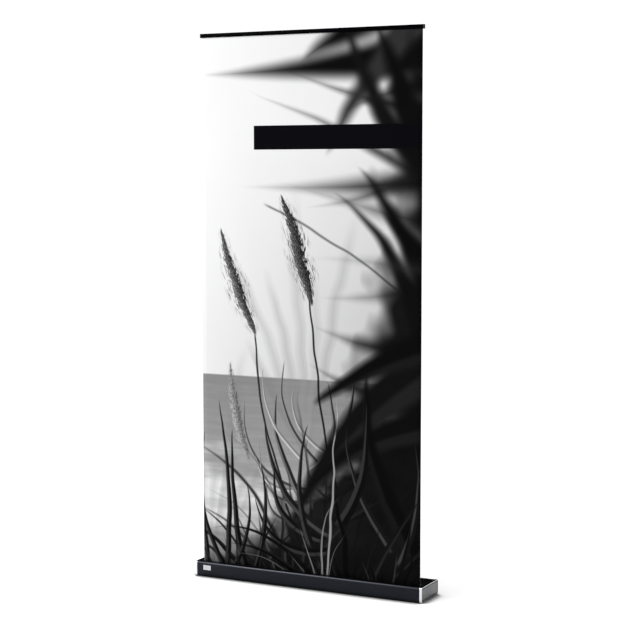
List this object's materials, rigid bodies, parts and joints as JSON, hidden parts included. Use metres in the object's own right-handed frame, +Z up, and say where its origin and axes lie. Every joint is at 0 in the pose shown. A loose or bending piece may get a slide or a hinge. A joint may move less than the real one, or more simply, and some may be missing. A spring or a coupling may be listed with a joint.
{
  "type": "roll-up banner stand",
  "caption": "Retractable banner stand: low wide base with a sprung roller, printed sheet, thin top rail and a telescopic pole behind.",
  "frame": {"origin": "on the floor, under the middle of the base", "axes": "+Z up, -Y out of the printed face, +X along the base to the right as seen from the front"},
  "size_m": [1.045, 0.17, 2.282],
  "materials": {
    "black_anodised": "black anodised, fine satin",
    "chrome": "bright polished",
    "satin_panel": "fine brushed grey",
    "badge": "brushed, blank",
    "mill_aluminium": "mill finish",
    "silver_anodised": "silver anodised",
    "zinc_steel": "zinc plated",
    "brass": "sintered",
    "nylon": "moulded",
    "black_plastic": "moulded, fine grain",
    "rubber": "matt",
    "bristle": "short pile",
    "printed_film": "printed film, matt, in greys"
  },
  "bodies": {
    "base": {"base_profile": "black_anodised", "end_cap_left": "chrome", "end_cap_right": "chrome", "end_panel_left": "satin_panel", "end_panel_right": "satin_panel", "panel_gasket_left": "rubber", "panel_gasket_right": "rubber", "cap_screw_left_front": "zinc_steel", "cap_screw_left_rear": "zinc_steel", "cap_screw_right_front": "zinc_steel", "cap_screw_right_rear": "zinc_steel", "roller_bracket_left": "nylon", "roller_bracket_right": "nylon", "spring_shaft": "zinc_steel", "spring_anchor": "nylon", "torsion_spring": "zinc_steel", "axle_pin": "zinc_steel", "slot_brush_front": "bristle", "slot_brush_rear": "bristle", "foot_pad_left_front": "rubber", "foot_pad_left_rear": "rubber", "foot_pad_right_front": "rubber", "foot_pad_right_rear": "rubber", "badge_plate": "badge", "pole_socket": "black_plastic", "pole_foot_plug": "black_plastic", "pole_section_lower": "silver_anodised"},
    "roller": {"roller_tube": "mill_aluminium", "graphic_leader": "printed_film", "roller_plug_left": "nylon", "roller_plug_right": "nylon", "bush_left": "brass", "bush_right": "brass", "spring_driver": "nylon"},
    "top": {"rail_profile": "black_anodised", "rail_clamp_strip": "black_plastic", "rail_plug_left": "black_plastic", "rail_plug_right": "black_plastic", "graphic": "printed_film", "pole_section_upper": "silver_anodised", "lock_plug_upper": "nylon", "pole_head": "black_plastic", "rail_rest_pad": "rubber"},
    "middle": {"pole_section_middle": "silver_anodised", "lock_plug_middle": "nylon"},
    "collar_lower": {"twist_collar_lower": "black_plastic"},
    "collar_upper": {"twist_collar_upper": "black_plastic"}
  },
  "joints": [
    {"name": "height_slide", "type": "slide", "parent": "base", "child": "top", "axis": [0, 0, 1], "range_m": [-1.3, 0], "deforming": ["graphic"]},
    {"name": "middle_slide", "type": "slide", "parent": "base", "child": "middle", "axis": [0, 0, 1], "range_m": [-0.65, 0]},
    {"name": "roller_spin", "type": "hinge", "parent": "base", "child": "roller", "pos_m": [0, -0.02965, 0.03215], "axis": [1, 0, 0], "range_deg": [0, 4050]},
    {"name": "collar_lower_twist", "type": "hinge", "parent": "base", "child": "collar_lower", "pos_m": [0, 0.01291, 0.8], "axis": [0, 0, 1], "range_deg": [0, 60]},
    {"name": "collar_upper_twist", "type": "hinge", "parent": "middle", "child": "collar_upper", "pos_m": [0, 0.01291, 1.5], "axis": [0, 0, 1], "range_deg": [0, 60]}
  ],
  "couplings": [
    {"joint": "roller_spin", "follows": "height_slide", "rad_per_m": -53.847},
    {"joint": "middle_slide", "follows": "height_slide", "ratio": 0.5}
  ]
}
